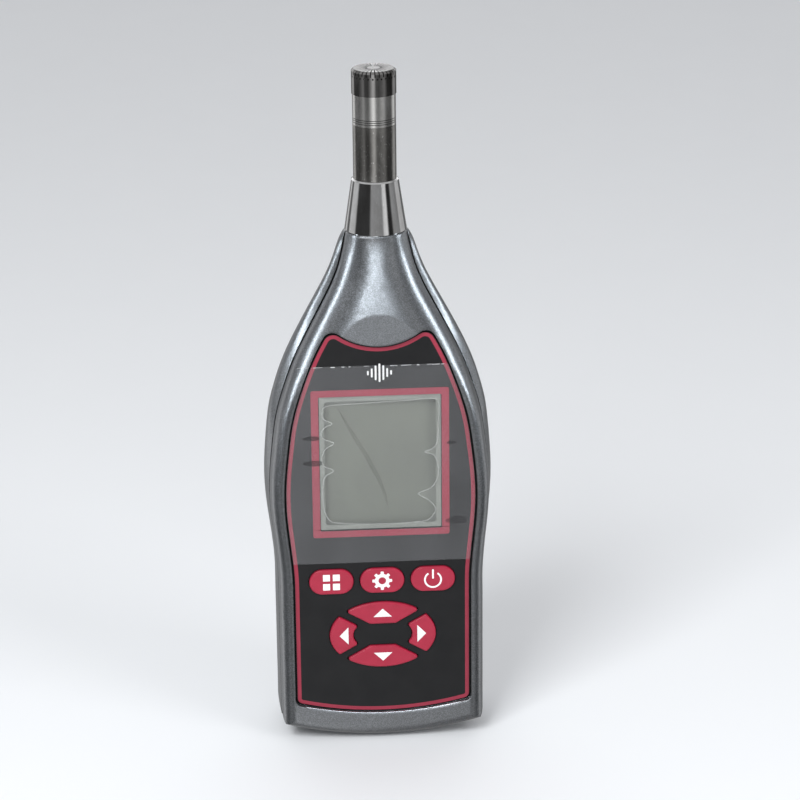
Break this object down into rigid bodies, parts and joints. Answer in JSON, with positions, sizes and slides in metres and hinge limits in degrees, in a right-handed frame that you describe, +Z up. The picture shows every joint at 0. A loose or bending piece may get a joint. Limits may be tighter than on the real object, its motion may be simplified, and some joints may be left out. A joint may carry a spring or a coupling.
{
  "type": "sound level meter",
  "caption": "Hand-held sound level meter: half-inch microphone on a conical neck, waisted two-part casing with a recessed panel, display, soft keys and a tripod socket.",
  "frame": {"origin": "under the middle of the casing, at the height of its lowest point", "axes": "+Z up along the meter to the microphone, -Y the side of the display, +X to the right seen from the display side"},
  "size_m": [0.0696, 0.032, 0.2107],
  "materials": {
    "shell_paint": "satin metallic paint on moulded plastic",
    "polished_steel": "turned and polished",
    "satin_steel": "fine turned satin",
    "bright_steel": "bright turned",
    "dark_chrome": "dark mirror",
    "insulator": "matte",
    "brass": "machined",
    "black_rubber": "matte",
    "board_green": "solder mask",
    "black_panel": "satin gloss",
    "clear_window": "clear acrylic",
    "clear_film": "thin clear film",
    "lcd_glass": "grey-green display glass",
    "white_plastic": "matte",
    "clear_rubber": "silicone",
    "chip_black": "matte moulded",
    "zinc_steel": "zinc plated",
    "cell_wrap": "plastic wrap",
    "key_red": "smooth silicone"
  },
  "bodies": {
    "case": {"battery_cells": "cell_wrap", "battery_contacts": "bright_steel", "battery_springs": "bright_steel", "battery_tray": "chip_black", "board_chips": "chip_black", "board_screws": "zinc_steel", "chip_shield": "bright_steel", "display_window": "clear_window", "front_shell": "shell_paint", "key_mat": "clear_rubber", "lcd_cell": "lcd_glass", "lcd_holder": "white_plastic", "lcd_reflector": "white_plastic", "main_board": "board_green", "neck_collar": "polished_steel", "panel_overlay": "black_panel", "preamp_board": "board_green", "preamp_socket": "insulator", "preamp_tube": "satin_steel", "protective_film": "clear_film", "rear_shell": "shell_paint", "shell_screws": "zinc_steel", "tripod_insert": "brass", "tube_seal": "black_rubber", "zebra_strips": "black_rubber"},
    "microphone": {"mic_cartridge": "bright_steel", "mic_grid": "dark_chrome", "mic_diaphragm": "bright_steel", "mic_backplate": "bright_steel", "mic_insulator": "insulator", "contact_pin": "brass"},
    "cover": {"battery_cover": "shell_paint", "cover_screw": "zinc_steel"},
    "menu_key": {"menu_key": "key_red"},
    "setup_key": {"setup_key": "key_red"},
    "power_key": {"power_key": "key_red"},
    "up_key": {"up_key": "key_red"},
    "down_key": {"down_key": "key_red"},
    "left_key": {"left_key": "key_red"},
    "right_key": {"right_key": "key_red"}
  },
  "joints": [
    {"name": "menu_key_press", "type": "slide", "parent": "case", "child": "menu_key", "axis": [0, 1, 0], "range_m": [0, 0.0007], "stiffness_N_per_m": 600},
    {"name": "setup_key_press", "type": "slide", "parent": "case", "child": "setup_key", "axis": [0, 1, 0], "range_m": [0, 0.0007], "stiffness_N_per_m": 600},
    {"name": "power_key_press", "type": "slide", "parent": "case", "child": "power_key", "axis": [0, 1, 0], "range_m": [0, 0.0007], "stiffness_N_per_m": 600},
    {"name": "up_key_press", "type": "slide", "parent": "case", "child": "up_key", "axis": [0, 1, 0], "range_m": [0, 0.0007], "stiffness_N_per_m": 600},
    {"name": "down_key_press", "type": "slide", "parent": "case", "child": "down_key", "axis": [0, 1, 0], "range_m": [0, 0.0007], "stiffness_N_per_m": 600},
    {"name": "left_key_press", "type": "slide", "parent": "case", "child": "left_key", "axis": [0, 1, 0], "range_m": [0, 0.0007], "stiffness_N_per_m": 600},
    {"name": "right_key_press", "type": "slide", "parent": "case", "child": "right_key", "axis": [0, 1, 0], "range_m": [0, 0.0007], "stiffness_N_per_m": 600},
    {"name": "cover_lift", "type": "slide", "parent": "case", "child": "cover", "axis": [0, 1, 0], "range_m": [0, 0.02]},
    {"name": "microphone_unscrew", "type": "slide", "parent": "case", "child": "microphone", "axis": [0, 0, 1], "range_m": [0, 0.012]}
  ]
}
